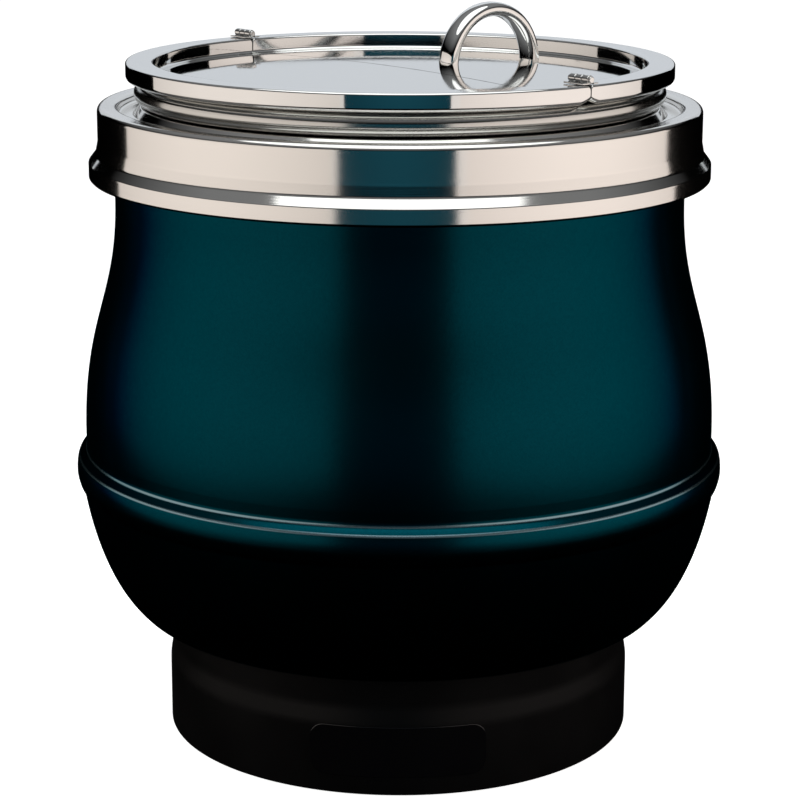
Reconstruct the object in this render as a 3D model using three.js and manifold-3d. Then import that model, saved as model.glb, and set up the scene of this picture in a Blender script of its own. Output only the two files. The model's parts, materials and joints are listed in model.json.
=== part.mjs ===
// A wet-heat soup kettle: a painted bowl-shaped body on a moulded base, a stainless collar that
// carries a water well, a lift-out pot with a rolled rim, and a two-piece lid hinged on its diameter.
// Millimetres. The kettle stands on z = 0 about the Z axis and its front faces -Y.
import * as THREE from "three";
import { mergeVertices } from "three/addons/utils/BufferGeometryUtils.js";
import Module from "manifold-3d";

const wasm = await Module();
wasm.setup();

// ---------------------------------------------------------------- driving dimensions
const GAP = 0.3; // clearance between two pieces that touch
const LARGE = 36; // facets round a large turned or pressed piece
const MEDIUM = 24;
const SMALL = 12;

const BASE = {
  radius: 123.9,
  neckRadius: 122.3,
  wall: 4,
  bottom: 1.5,
  taperFrom: 38,
  taperTo: 48,
  top: 65.7,
  flange: 3,
  bore: 100,
};
const BODY = { sheet: 1.5, floor: 66, beadRadius: 171.5, beadHeight: 148, neckRadius: 148.4, top: 325 };
const COLLAR = {
  sheet: 1.2,
  bottom: 298.8,
  radius: 156.7,
  lip: 336.3,
  lipInner: 146,
  groove: 331,
  seat: 336,
};
const WELL = { sheet: 1, radius: 140, floor: 100, corner: 20, top: 327.7, flangeRadius: 145 };
const POT = { sheet: 1, radius: 125.2, floor: 131.5, corner: 21, beadRadius: 6.2, beadHeight: 342.5 };
const LID = {
  sheet: 1,
  radius: 141.7,
  rimInner: 127.4,
  bottom: 349,
  top: 358.5,
  centre: 354.2,
  domeRadius: 2100,
  split: 0.35,
};
const LOOP = { radius: 28.8, centreRadius: 62, height: 351.8, thick: 7.6, wide: 12, round: 3.2 };
const HINGE = {
  azimuth: -50,
  height: 361,
  knuckle: 2.2,
  bore: 1.3,
  pin: 1,
  inner: 127.8,
  outer: 141.2,
  leaf: 0.8,
};
const PLATE = { radius: 117.9, bottom: 6.3, thick: 1.5 };
const SCREW_CIRCLE = { radius: 113, count: 4, first: 60 };
const FOOT_CIRCLE = { radius: 88, count: 4, first: 45 };
const STUD_CIRCLE = { radius: 106, count: 4, first: 45 };
const KNOB = { azimuth: 128, height: 21, radius: 15.5, back: 126.2, front: 143 };
const LAMP_AZIMUTH = 108;
const GLAND_AZIMUTH = 90;
const BADGE = { width: 88, height: 27, middle: 25, corner: 8, radius: 124.2, thick: 0.7 };
const PANEL = { width: 96, height: 33, middle: 21.5, corner: 6, azimuth: 118 };

// ---------------------------------------------------------------- materials
function finish(color, roughness, metalness) {
  return new THREE.MeshStandardMaterial({ color, roughness, metalness });
}

const POLISHED = finish(0xd9dbdc, 0.12, 1);
const STAINLESS = finish(0xc9c8c4, 0.28, 1);
const PAINT = finish(0x062024, 0.3, 0.4);
const BLACK_PLASTIC = finish(0x0a0a0b, 0.45, 0);
const RUBBER = finish(0x141414, 0.85, 0);
const ZINC = finish(0x9a9ca0, 0.4, 1);
const ALUMINIUM = finish(0xb6b8ba, 0.4, 1);
const BRASS = finish(0xb08d4a, 0.35, 1);
const SILICONE = finish(0x8f2f22, 0.7, 0);
const WOOL = finish(0xc9b98a, 0.95, 0);
const WHITE_PLASTIC = finish(0xe8e6df, 0.5, 0);
const AMBER = finish(0xd9731c, 0.2, 0);
const COPPER = finish(0xb87050, 0.35, 1);
const BROWN_WIRE = finish(0x4a2812, 0.5, 0);
const BLUE_WIRE = finish(0x1a2e80, 0.5, 0);

// ---------------------------------------------------------------- solid modelling helpers
const radians = THREE.MathUtils.degToRad;
const point = (r, z) => new THREE.Vector2(r, z);
const vector = (x, y, z) => new THREE.Vector3(x, y, z);
const polar = (r, degrees, z) => vector(r * Math.cos(radians(degrees)), r * Math.sin(radians(degrees)), z);

// A closed geometry as a manifold-3d solid.
function solid(geometry) {
  const bare = new THREE.BufferGeometry().setAttribute("position", geometry.getAttribute("position"));
  bare.setIndex(geometry.index);
  const merged = mergeVertices(bare, 1e-4);
  const all = merged.index.array;
  const kept = [];
  for (let i = 0; i < all.length; i += 3) {
    const [a, b, c] = [all[i], all[i + 1], all[i + 2]];
    if (a !== b && b !== c && c !== a) kept.push(a, b, c);
  }
  const vertProperties = new Float32Array(merged.getAttribute("position").array);
  return new wasm.Manifold(new wasm.Mesh({ numProp: 3, vertProperties, triVerts: new Uint32Array(kept) }));
}

// A manifold-3d solid as a geometry.
function surface(made) {
  const mesh = made.getMesh();
  const geometry = new THREE.BufferGeometry();
  geometry.setAttribute("position", new THREE.BufferAttribute(mesh.vertProperties, 3));
  geometry.setIndex(new THREE.BufferAttribute(mesh.triVerts, 1));
  geometry.computeVertexNormals();
  return geometry;
}

// A geometry joined to others, and a solid or geometry with others cut away.
const join = (first, ...others) => others.reduce((whole, other) => whole.add(solid(other)), solid(first));
const drill = (whole, tools) => tools.reduce((left, tool) => left.subtract(solid(tool)), whole);
const cut = (first, ...tools) => drill(solid(first), tools);

// An outline of (radius, height) points turned about Z; an outline off the axis is closed on itself.
function turned(outline, facets = LARGE) {
  const points = outline.map((p) => p.clone());
  if (points[0].x > 0) points.push(points[0].clone());
  const area = points.reduce((sum, p, i) => sum + p.cross(points[(i + 1) % points.length]), 0);
  if (area < 0) points.reverse();
  return new THREE.LatheGeometry(points, facets).rotateX(Math.PI / 2);
}

// Points of an arc in the (radius, height) plane, both ends included.
function arc(centreR, centreZ, radius, from, to, steps) {
  return Array.from({ length: steps + 1 }, (_, i) => {
    const angle = radians(from + ((to - from) * i) / steps);
    return point(centreR + radius * Math.cos(angle), centreZ + radius * Math.sin(angle));
  });
}

// A cubic Bezier curve through the (radius, height) plane.
const curve = (...corners) => new THREE.CubicBezierCurve(...corners.map(([r, z]) => point(r, z)));

const rod = (radius, z0, z1, facets = SMALL) => {
  const standing = new THREE.CylinderGeometry(radius, radius, z1 - z0, facets).rotateX(Math.PI / 2);
  return standing.translate(0, 0, (z0 + z1) / 2);
};
const span = (x0, x1, y0, y1, z0, z1) => new THREE.Box3(vector(x0, y0, z0), vector(x1, y1, z1));
const block = (...limits) => {
  const size = span(...limits).getSize(vector());
  const centre = span(...limits).getCenter(vector());
  return new THREE.BoxGeometry(size.x, size.y, size.z).translate(centre.x, centre.y, centre.z);
};
const ring = (inner, outer, z0, z1, facets = LARGE) =>
  turned([point(inner, z0), point(outer, z0), point(outer, z1), point(inner, z1)], facets);

// The places of a circle of repeated pieces, and copies of a geometry moved to them.
const places = ({ radius, count, first }) =>
  Array.from({ length: count }, (_, i) => polar(radius, first + (i * 360) / count, 0));
const atEach = (circle, geometry) => places(circle).map((p) => geometry.clone().translate(p.x, p.y, p.z));

// Turns a piece built along +Z so that it points outwards from the Z axis, at a height.
function outwards(geometry, azimuth, height = 0) {
  const turn = new THREE.Matrix4().makeRotationZ(radians(azimuth));
  turn.multiply(new THREE.Matrix4().makeRotationY(Math.PI / 2));
  return geometry.clone().applyMatrix4(turn.setPosition(0, 0, height));
}

// A tube along a smooth path through the points.
function tube(points, radius, steps, sides = 8) {
  const section = new THREE.Shape().absarc(0, 0, radius, 0, Math.PI * 2, false);
  const outline = new THREE.Shape(section.getPoints(sides / 4).slice(0, -1));
  const path = new THREE.CatmullRomCurve3(points);
  return new THREE.ExtrudeGeometry(outline, { steps, extrudePath: path, curveSegments: 1 });
}

// A rectangle with rounded corners, centred on the origin.
function roundedRectangle(width, height, corner) {
  const [x, y] = [width / 2, height / 2];
  const shape = new THREE.Shape();
  shape.moveTo(-x + corner, -y).lineTo(x - corner, -y);
  shape.absarc(x - corner, -y + corner, corner, -Math.PI / 2, 0, false);
  shape.absarc(x - corner, y - corner, corner, 0, Math.PI / 2, false);
  shape.absarc(-x + corner, y - corner, corner, Math.PI / 2, Math.PI, false);
  shape.absarc(-x + corner, -y + corner, corner, Math.PI, Math.PI * 1.5, false);
  return shape;
}

// ---------------------------------------------------------------- scene graph
const kettle = new THREE.Group();

function add(name, piece, material) {
  const geometry = piece.isBufferGeometry ? piece : surface(piece);
  const mesh = new THREE.Mesh(geometry, material);
  mesh.name = name;
  kettle.add(mesh);
  return mesh;
}

// Copies of one piece round a circle, each its own mesh.
function addRound(name, piece, material, circle, height = 0) {
  places(circle).forEach((place, i) => {
    add(`${name}_${i + 1}`, piece, material).position.copy(place.setZ(height));
  });
}

// ---------------------------------------------------------------- base
function controlHoles() {
  const from = BASE.radius - 12;
  const to = BASE.radius + 6;
  return [
    outwards(rod(3.6, from, to, MEDIUM), KNOB.azimuth, KNOB.height),
    outwards(rod(6.4, from, to, MEDIUM), LAMP_AZIMUTH, PANEL.middle),
    outwards(rod(6.8, from, to, MEDIUM), GLAND_AZIMUTH, PANEL.middle),
  ];
}

function baseRing() {
  const { radius, neckRadius, wall, bottom, taperFrom, taperTo, top, flange, bore } = BASE;
  const shell = turned([
    point(radius - wall, bottom),
    point(radius - 1, bottom),
    point(radius, bottom + 1),
    point(radius, taperFrom),
    point(neckRadius, taperTo),
    point(neckRadius, top),
    point(bore, top),
    point(bore, top - flange),
    point(neckRadius - wall, top - flange),
    point(neckRadius - wall, taperTo),
    point(radius - wall, taperFrom),
  ]);
  const bosses = atEach(SCREW_CIRCLE, rod(6, PLATE.bottom + PLATE.thick + GAP, top - 1));
  const screwHoles = atEach(SCREW_CIRCLE, rod(2, 0, 24));
  const studHoles = atEach(STUD_CIRCLE, rod(2.8, top - 9, top + 9));
  return drill(join(shell, ...bosses), [...screwHoles, ...studHoles, ...controlHoles()]);
}

function basePlate() {
  const top = PLATE.bottom + PLATE.thick;
  const disc = rod(PLATE.radius, PLATE.bottom, top, LARGE);
  return cut(disc, ...atEach(SCREW_CIRCLE, rod(2.2, 0, 20)), ...atEach(FOOT_CIRCLE, rod(3.4, 0, 20)));
}

// A rubber foot with a barbed stem pushed through the base plate.
function foot() {
  const top = PLATE.bottom - GAP;
  const above = PLATE.bottom + PLATE.thick + GAP;
  const outline = [
    point(0, 0),
    point(9, 0),
    point(10, 1.5),
    point(10, top),
    point(3, top),
    point(3, above),
    point(4.4, above),
    point(3, above + 3),
    point(0, above + 3),
  ];
  return turned(outline, SMALL);
}

// A pan-headed screw standing on its head at z = 0.
function screw(headRadius, headHeight, shank, length, facets = SMALL) {
  const outline = [
    point(0, 0),
    point(headRadius - 0.8, 0),
    point(headRadius, 0.8),
    point(headRadius, headHeight),
    point(shank, headHeight),
    point(shank, length),
    point(0, length),
  ];
  return turned(outline, facets);
}

function hexNut(acrossCorners, bore, height) {
  return cut(rod(acrossCorners / 2, 0, height, 6), rod(bore, -1, height + 1));
}

// A thin plate that hugs the base, cut to a rounded rectangle.
function basePanel({ width, height, middle, corner }, azimuth) {
  const skin = ring(BADGE.radius, BADGE.radius + BADGE.thick, 0, BASE.taperFrom + 10, 96);
  const outline = roundedRectangle(height, width, corner);
  const window = new THREE.ExtrudeGeometry(outline, { depth: 40, bevelEnabled: false, curveSegments: 4 });
  return solid(skin).intersect(solid(outwards(window.translate(0, 0, 100), azimuth, middle)));
}

function addBase() {
  add("base_ring", baseRing(), BLACK_PLASTIC);
  add("base_plate", basePlate(), ZINC);
  addRound("rubber_foot", foot(), RUBBER, FOOT_CIRCLE);
  addRound("base_screw", screw(4, 2.3, 1.7, 18), ZINC, SCREW_CIRCLE, PLATE.bottom - GAP - 2.3);
  add("badge_plate", basePanel(BADGE, -90), BLACK_PLASTIC);
}

// ---------------------------------------------------------------- body
// Outer face of the painted shell, from the bottom hole up to the neck.
function bodyFace(steps) {
  const { floor, beadRadius, beadHeight, neckRadius, top } = BODY;
  const underside = new THREE.QuadraticBezierCurve(point(132, floor), point(137, floor), point(142.3, 71.8));
  const bowl = curve([142.3, 71.8], [161.6, 91.1], [167.5, 132.6], [168.4, 137]);
  const shoulder = curve([166.4, 163], [166.6, 226], [148.6, 234], [neckRadius, 286]);
  return [
    point(BASE.bore, floor),
    ...underside.getPoints(1),
    ...bowl.getPoints(steps).slice(1),
    point(beadRadius - 0.3, beadHeight - 4.5),
    point(beadRadius, beadHeight - 1),
    point(beadRadius - 1.6, beadHeight + 3.5),
    point(beadRadius - 4.2, beadHeight + 8.5),
    ...shoulder.getPoints(steps),
    point(neckRadius, top),
  ];
}

// The same outline moved inwards along its normals by the sheet thickness.
function offsetFace(face, distance) {
  return face.map((p, i) => {
    const before = face[Math.max(i - 1, 0)];
    const after = face[Math.min(i + 1, face.length - 1)];
    const along = after.clone().sub(before).normalize();
    return point(p.x - along.y * distance, p.y + along.x * distance);
  });
}

function bodyShell() {
  const face = bodyFace(4);
  const inside = offsetFace(face, BODY.sheet);
  return cut(turned([...face, ...inside.reverse()]), ...atEach(STUD_CIRCLE, rod(2.8, 60, 75)));
}

function insulation() {
  const inner = WELL.radius + 1.2;
  return turned([
    point(inner, 122),
    point(149, 122),
    point(149, 225),
    point(145.8, 268),
    point(145.8, 322),
    point(inner, 322),
  ]);
}

// ---------------------------------------------------------------- collar and well
function collarBand() {
  const { sheet, bottom, radius, lip, lipInner, groove, seat } = COLLAR;
  const outside = [
    point(149.3, bottom),
    point(160.4, bottom),
    point(161.6, bottom + 1.2),
    point(161.4, 304.8),
    point(158.4, 308.6),
    point(radius, 313),
    point(radius, lip - 1.6),
    point(radius - 1.6, lip),
    point(lipInner + 1.2, lip),
    point(lipInner, lip - 1.2),
    point(lipInner, groove),
    point(138, groove),
    point(134.8, seat),
    point(129.6, seat),
    point(128.3, seat - 1.3),
    point(128.3, groove + 0.8),
  ];
  const inside = [
    point(128.3 + sheet, groove + 0.8),
    point(128.3 + sheet, seat - sheet),
    point(134, seat - sheet),
    point(137.2, groove - sheet),
    point(lipInner + sheet, groove - sheet),
    point(lipInner + sheet, lip - sheet),
    point(radius - sheet, lip - sheet),
    point(radius - sheet, 312.6),
    point(160.2, 304.2),
    point(160.2, bottom + sheet),
    point(149.3, bottom + sheet),
  ];
  return turned([...outside, ...inside]);
}

function waterWell() {
  const { sheet, radius, floor, corner, top, flangeRadius } = WELL;
  const outer = arc(radius - corner, floor + corner, corner, -90, 0, 3);
  const inner = arc(radius - corner, floor + corner, corner - sheet, 0, -90, 3);
  return turned([
    point(0, floor),
    ...outer,
    point(radius, top - sheet),
    point(flangeRadius, top - sheet),
    point(flangeRadius, top),
    point(radius - sheet, top),
    ...inner,
    point(0, floor + sheet),
  ]);
}

// A shouldered stud that holds the well, the body and the base together.
function clampStud() {
  const shoulder = BODY.floor + BODY.sheet + GAP;
  const top = WELL.floor - GAP;
  const outline = [
    point(0, 55),
    point(2.5, 55),
    point(2.5, shoulder),
    point(4.5, shoulder),
    point(4.5, top),
    point(0, top),
  ];
  return turned(outline, SMALL);
}

function wellGasket() {
  return ring(WELL.radius - 0.6, WELL.flangeRadius, WELL.top + GAP, COLLAR.groove - COLLAR.sheet - GAP);
}

function addBodyAndWell() {
  add("body_shell", bodyShell(), PAINT);
  add("insulation_blanket", insulation(), WOOL);
  add("collar_band", collarBand(), POLISHED);
  add("collar_seal", ring(148.8, 155.2, 300.3, 309), RUBBER);
  add("water_well", waterWell(), STAINLESS);
  add("well_gasket", wellGasket(), SILICONE);
  addRound("clamp_stud", clampStud(), ZINC, STUD_CIRCLE);
  addRound("stud_nut", hexNut(9.2, 2.8, 4), ZINC, STUD_CIRCLE, BASE.top - BASE.flange - GAP - 4);
}

// ---------------------------------------------------------------- heating
const ELEMENT = {
  radius: 62,
  tube: 4,
  plateRadius: 80,
  plateThick: 4,
  clampThick: 1,
  startAngle: 115,
  sweep: 310,
};
const PLATE_BOTTOM = WELL.floor - GAP - ELEMENT.plateThick;
const ELEMENT_HEIGHT = PLATE_BOTTOM - GAP - ELEMENT.tube;
const CLAMP_TOP = ELEMENT_HEIGHT - ELEMENT.tube - GAP;
const terminal = (end) => ELEMENT.startAngle + end * ELEMENT.sweep;

// A tubular heater bent to a ring, with both ends turned down as terminals.
function heatingElement() {
  const { radius, startAngle, sweep } = ELEMENT;
  const steps = 18;
  const bend = 4; // degrees of the ring taken up by each downward bend
  const down = (end, drop) => polar(radius, terminal(end), ELEMENT_HEIGHT - drop);
  const round = Array.from({ length: steps + 1 }, (_, i) =>
    polar(radius, startAngle + bend + ((sweep - 2 * bend) * i) / steps, ELEMENT_HEIGHT),
  );
  return tube([down(0, 20), down(0, 4), ...round, down(1, 4), down(1, 20)], ELEMENT.tube, 44);
}

function elementClamp() {
  const disc = rod(74, CLAMP_TOP - ELEMENT.clampThick, CLAMP_TOP, MEDIUM);
  const ends = [0, 1].map((end) => polar(ELEMENT.radius, terminal(end), 0));
  const holes = ends.map((place) => rod(8, 60, 100).translate(place.x, place.y, 0));
  return cut(disc, rod(3.4, 60, 100), ...holes);
}

function addHeating() {
  const clampBottom = CLAMP_TOP - ELEMENT.clampThick;
  const underWell = WELL.floor - GAP;
  add("element_plate", rod(ELEMENT.plateRadius, PLATE_BOTTOM, underWell, MEDIUM), ALUMINIUM);
  add("heating_element", heatingElement(), STAINLESS);
  add("element_clamp", elementClamp(), ZINC);
  add("element_stud", rod(3, clampBottom - 10, PLATE_BOTTOM - GAP), ZINC);
  add("element_nut", hexNut(11, 3.4, 5), ZINC).position.z = clampBottom - GAP - 5;
  add("thermal_cutout", rod(8, underWell - 7, underWell, MEDIUM), ALUMINIUM).position.copy(polar(91, -90, 0));
}

// ---------------------------------------------------------------- controls and wiring
const CONTROL_BODY = { front: 117.2, depth: 26, width: 32, height: 24 };
const atKnob = (geometry) => outwards(geometry, KNOB.azimuth, KNOB.height);
const atLamp = (geometry) => outwards(geometry, LAMP_AZIMUTH, PANEL.middle);
const atGland = (geometry) => outwards(geometry, GLAND_AZIMUTH, PANEL.middle);

function thermostatBody() {
  const { front, depth, width, height } = CONTROL_BODY;
  return block(-height / 2, height / 2, -width / 2, width / 2, front - depth, front);
}

function knobSkirt() {
  const { radius, back } = KNOB;
  const outline = [
    point(0, back),
    point(radius, back),
    point(radius, back + 2),
    point(radius - 1.5, back + 3.5),
    point(0, back + 3.5),
  ];
  return turned(outline, MEDIUM);
}

function knobGrip() {
  const { back, front } = KNOB;
  const flutes = 12;
  const corners = Array.from({ length: flutes * 2 }, (_, i) => {
    const r = i % 2 ? 10.4 : 11.4;
    return point(r * Math.cos((Math.PI * i) / flutes), r * Math.sin((Math.PI * i) / flutes));
  });
  const grip = new THREE.ExtrudeGeometry(new THREE.Shape(corners), {
    depth: front - back - 3,
    bevelEnabled: false,
  });
  return grip.translate(0, 0, back + 3);
}

function controlKnob() {
  const shaftHole = rod(3.3, KNOB.back - 1, KNOB.back + 12);
  return surface(drill(join(knobSkirt(), knobGrip()), [shaftHole]));
}

function lampLens(face) {
  const outline = [
    point(0, face + GAP),
    point(8, face + GAP),
    point(8, face + 1.6),
    ...arc(0, face - 3, 8, 40, 80, 3),
    point(0, face + 5),
  ];
  return turned(outline, MEDIUM);
}

function cordGland() {
  const from = BASE.radius - 12;
  const outline = [
    point(3.7, from),
    point(6.5, from),
    point(6.5, BASE.radius + GAP),
    point(9.5, BASE.radius + GAP),
    point(9.5, BASE.radius + 4),
    point(7, BASE.radius + 10),
    point(3.7, BASE.radius + 10),
  ];
  return turned(outline, MEDIUM);
}

function addControls() {
  const inside = BASE.radius - BASE.wall;
  const face = BADGE.radius + BADGE.thick;
  const pointerBack = KNOB.front + GAP;
  add("control_panel", drill(basePanel(PANEL, PANEL.azimuth), controlHoles().slice(0, 2)), STAINLESS);
  add("thermostat_body", atKnob(thermostatBody()), WHITE_PLASTIC);
  add("thermostat_shaft", atKnob(rod(3, CONTROL_BODY.front + GAP, KNOB.back + 11.5)), BRASS);
  add("control_knob", atKnob(controlKnob()), BLACK_PLASTIC);
  add("knob_pointer", atKnob(block(-9.5, -2, -0.7, 0.7, pointerBack, pointerBack + 0.8)), WHITE_PLASTIC);
  add("pilot_lamp_body", atLamp(rod(6, inside - 14, face - 0.4, MEDIUM)), WHITE_PLASTIC);
  add("pilot_lamp_lens", atLamp(lampLens(face)), AMBER);
  add("cord_gland", atGland(cordGland()), BLACK_PLASTIC);
  add("gland_nut", atGland(ring(6.8, 9.5, inside - 6, inside - 2, MEDIUM)), BLACK_PLASTIC);
}

// A lead from the terminal block up to one end of the heating element.
function lead(end, x, z) {
  const start = vector(x, 77, z);
  const tab = polar(ELEMENT.radius, terminal(end), ELEMENT_HEIGHT - 20 - GAP);
  const middle = start.clone().lerp(tab, 0.5).setZ(44);
  return tube([start, vector(x, 77, z + 8), middle, tab.clone().setZ(tab.z - 10), tab], 1.6, 20);
}

function addWiring() {
  const floor = PLATE.bottom + PLATE.thick + GAP;
  add("terminal_block", block(-16, 16, 70, 84, floor, floor + 15), WHITE_PLASTIC);
  add("earth_stud", rod(2, floor, floor + 12), BRASS).position.copy(polar(78, 55, 0));
  const bulbHeight = WELL.floor - GAP - 3.4;
  add("thermostat_bulb", outwards(rod(3.4, -28, 28), 0).translate(0, 90, bulbHeight), COPPER);
  const controlTop = KNOB.height + CONTROL_BODY.height / 2 + GAP;
  const bodyTop = polar(CONTROL_BODY.front - 18, KNOB.azimuth, controlTop);
  const capillary = [
    vector(-28 - GAP, 90, bulbHeight),
    vector(-38, 88, bulbHeight - 2),
    vector(-46, 80, bulbHeight - 14),
    polar(92, KNOB.azimuth - 4, 72),
    polar(93, KNOB.azimuth, 56),
    bodyTop.clone().setZ(controlTop + 10),
    bodyTop,
  ];
  add("capillary_tube", tube(capillary, 1, 30), COPPER);
  add("live_lead", lead(0, -8, floor + 15 + GAP), BROWN_WIRE);
  add("neutral_lead", lead(1, 8, floor + 15 + GAP), BLUE_WIRE);
}

// ---------------------------------------------------------------- pot
// A spun pot whose rim is rolled outwards into a bead that hangs on the collar's seat.
function innerPot() {
  const { sheet, radius, floor, corner, beadRadius, beadHeight } = POT;
  const beadCentre = radius + beadRadius;
  const wall = radius + sheet;
  return turned([
    point(0, floor),
    ...arc(wall - corner, floor + corner, corner, -90, 0, 3),
    ...arc(beadCentre, beadHeight, beadRadius - sheet, 180, -90, 6),
    ...arc(beadCentre, beadHeight, beadRadius, -90, 180, 6),
    ...arc(wall - corner, floor + corner, corner - sheet, 0, -90, 3),
    point(0, floor + sheet),
  ]);
}

// ---------------------------------------------------------------- lid
const domeHeight = (r) => LID.centre - (r * r) / (2 * LID.domeRadius);

function domePoints(from, to, steps, drop) {
  return Array.from({ length: steps + 1 }, (_, i) => {
    const r = from + ((to - from) * i) / steps;
    return point(r, domeHeight(r) - drop);
  });
}

// The whole lid before it is parted: a hollow rim round a gently domed disc.
function lidBlank() {
  const { sheet, radius, rimInner, bottom, top } = LID;
  const outline = [
    ...domePoints(0, 123, 3, sheet),
    point(127, bottom),
    point(138.4, bottom),
    point(140.8, bottom + 1.2),
    point(radius, bottom + 3.4),
    point(radius, top - 1.7),
    point(radius - 1.6, top),
    point(rimInner + 1.2, top),
    point(rimInner, top - 1.2),
    point(rimInner, bottom + 2.2),
    ...domePoints(125.4, 0, 3, 0),
  ];
  const hollow = [
    point(rimInner + sheet, bottom + 1.2),
    point(138.6, bottom + 1.2),
    point(radius - sheet, bottom + 3.6),
    point(radius - sheet, top - 2),
    point(radius - 2.2, top - sheet),
    point(rimInner + sheet, top - sheet),
  ];
  return cut(turned(outline), turned(hollow));
}

// Half of the blank on one side of the hinge line; side is +1 where the loop handle is.
function lidHalf(side) {
  const reach = 200;
  const other = block(-reach, LID.split, -reach, reach, 300, 400);
  return lidBlank().subtract(solid(other.rotateZ(radians(HINGE.azimuth + (side > 0 ? 90 : -90)))));
}

const loopAzimuth = HINGE.azimuth + 90;
const footRadii = [LOOP.centreRadius - LOOP.radius, LOOP.centreRadius + LOOP.radius];

// A half ring of oval bar that stands on the disc, chord along the centre line of its half.
function lidLoop() {
  const { radius, centreRadius, height, thick, wide, round } = LOOP;
  const steps = 14;
  const centreLine = Array.from({ length: steps + 1 }, (_, i) => {
    const angle = Math.PI - (Math.PI * i) / steps;
    return vector(centreRadius + radius * Math.cos(angle), 0, height + radius * Math.sin(angle));
  });
  centreLine.unshift(centreLine[0].clone().setZ(height - 6));
  centreLine.push(centreLine.at(-1).clone().setZ(height - 6));
  const section = new THREE.Shape(roundedRectangle(wide, thick, round).getPoints(2));
  const extrudePath = new THREE.CatmullRomCurve3(centreLine);
  const bar = new THREE.ExtrudeGeometry(section, { steps: 20, extrudePath });
  const below = footRadii.map((r) => block(r - 12, r + 12, -20, 20, height - 30, domeHeight(r) + 0.4));
  const bores = footRadii.map((r) => rod(2.8, height - 30, domeHeight(r) + 9).translate(r, 0, 0));
  return surface(cut(bar, ...below, ...bores)).rotateZ(radians(loopAzimuth));
}

// Half of a butt hinge lying on the rim: a leaf on one half of the lid (+1 is the loop's half) with
// its knuckles, at the front (+1) or rear (-1) end of the hinge line.
function hingeLeaf(half, end) {
  const { height, knuckle, bore, inner, outer, leaf } = HINGE;
  const side = half * end; // turning the rear hinge by 180 degrees swaps its sides
  const third = (outer - inner) / 3;
  const spans = half > 0 ? [[1, 2]] : [[0, 1], [2, 3]];
  const bottom = height - knuckle;
  const across = (a, b) => [Math.min(side * a, side * b), Math.max(side * a, side * b)];
  const leafStrip = block(inner, outer, ...across(2.6, 5.2), bottom, bottom + leaf);
  const knuckles = spans.flatMap(([a, b]) => {
    const from = inner + a * third + (a ? 0.25 : 0);
    const to = inner + b * third - (b < 3 ? 0.25 : 0);
    const web = block(from, to, ...across(0.4, 3), bottom, bottom + leaf);
    return [web, outwards(rod(knuckle, from, to), 0, height)];
  });
  const pinHole = outwards(rod(bore, inner - 1, outer + 1), 0, height);
  const made = drill(join(leafStrip, ...knuckles), [pinHole]);
  return surface(made).rotateZ(radians(HINGE.azimuth + (end > 0 ? 0 : 180)));
}

function hingePin(end) {
  const { pin, height, inner, outer } = HINGE;
  const head = 1.7;
  const outline = [
    point(0, inner - 1),
    point(head, inner - 1),
    point(head, inner - GAP),
    point(pin, inner - GAP),
    point(pin, outer + GAP),
    point(head, outer + GAP),
    point(head, outer + 1),
    point(0, outer + 1),
  ];
  return outwards(turned(outline, SMALL), HINGE.azimuth + (end > 0 ? 0 : 180), height);
}

function addLid() {
  const feet = footRadii.map((r) => polar(r, loopAzimuth, 0));
  const screwHoles = feet.map((foot) => rod(2.9, 340, 370).translate(foot.x, foot.y, 0));
  add("lid_fixed_half", lidHalf(-1), POLISHED);
  add("lid_opening_half", drill(lidHalf(1), screwHoles), POLISHED);
  add("lid_loop_handle", lidLoop(), POLISHED);
  feet.forEach((place, i) => {
    const head = 2.8;
    const height = domeHeight(footRadii[i]) - LID.sheet - 0.5 - head;
    add(`loop_screw_${i + 1}`, screw(4.6, head, 2.5, head + 8), STAINLESS).position.copy(place.setZ(height));
  });
  [["front", 1], ["rear", -1]].forEach(([name, end]) => {
    add(`${name}_hinge_fixed_leaf`, hingeLeaf(-1, end), STAINLESS);
    add(`${name}_hinge_opening_leaf`, hingeLeaf(1, end), STAINLESS);
    add(`${name}_hinge_pin`, hingePin(end), STAINLESS);
  });
}

addBase();
addBodyAndWell();
addHeating();
addControls();
addWiring();
add("inner_pot", innerPot(), STAINLESS);
addLid();

export default kettle;
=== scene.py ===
"""Looks of a wet-heat soup kettle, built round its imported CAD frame.

Lengths in the outlines are millimetres in the row frame, and become metres when a mesh is made.
The kettle stands on z = 0 about the Z axis and its badge faces -Y.
"""

import json
import math

import bmesh
import bpy
from mathutils import Matrix, Vector
from mathutils.geometry import tessellate_polygon


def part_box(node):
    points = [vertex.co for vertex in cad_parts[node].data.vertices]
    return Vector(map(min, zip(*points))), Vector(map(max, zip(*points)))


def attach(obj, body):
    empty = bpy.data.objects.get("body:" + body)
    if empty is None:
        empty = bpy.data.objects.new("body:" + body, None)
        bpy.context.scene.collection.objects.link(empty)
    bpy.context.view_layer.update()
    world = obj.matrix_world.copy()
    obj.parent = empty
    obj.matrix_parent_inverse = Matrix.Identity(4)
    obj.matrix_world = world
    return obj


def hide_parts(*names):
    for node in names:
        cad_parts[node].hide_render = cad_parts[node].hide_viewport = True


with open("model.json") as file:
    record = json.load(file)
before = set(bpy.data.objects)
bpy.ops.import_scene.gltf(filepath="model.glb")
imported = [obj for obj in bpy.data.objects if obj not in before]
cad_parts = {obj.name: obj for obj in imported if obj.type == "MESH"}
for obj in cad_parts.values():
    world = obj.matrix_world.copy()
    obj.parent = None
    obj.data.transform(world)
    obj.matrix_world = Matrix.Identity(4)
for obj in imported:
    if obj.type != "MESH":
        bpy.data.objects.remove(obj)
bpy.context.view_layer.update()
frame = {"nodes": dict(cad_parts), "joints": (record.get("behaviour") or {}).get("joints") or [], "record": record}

MM = 0.001
ROUND = 192  # faces round a large turned piece
FINE = 48  # faces round a small one


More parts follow.
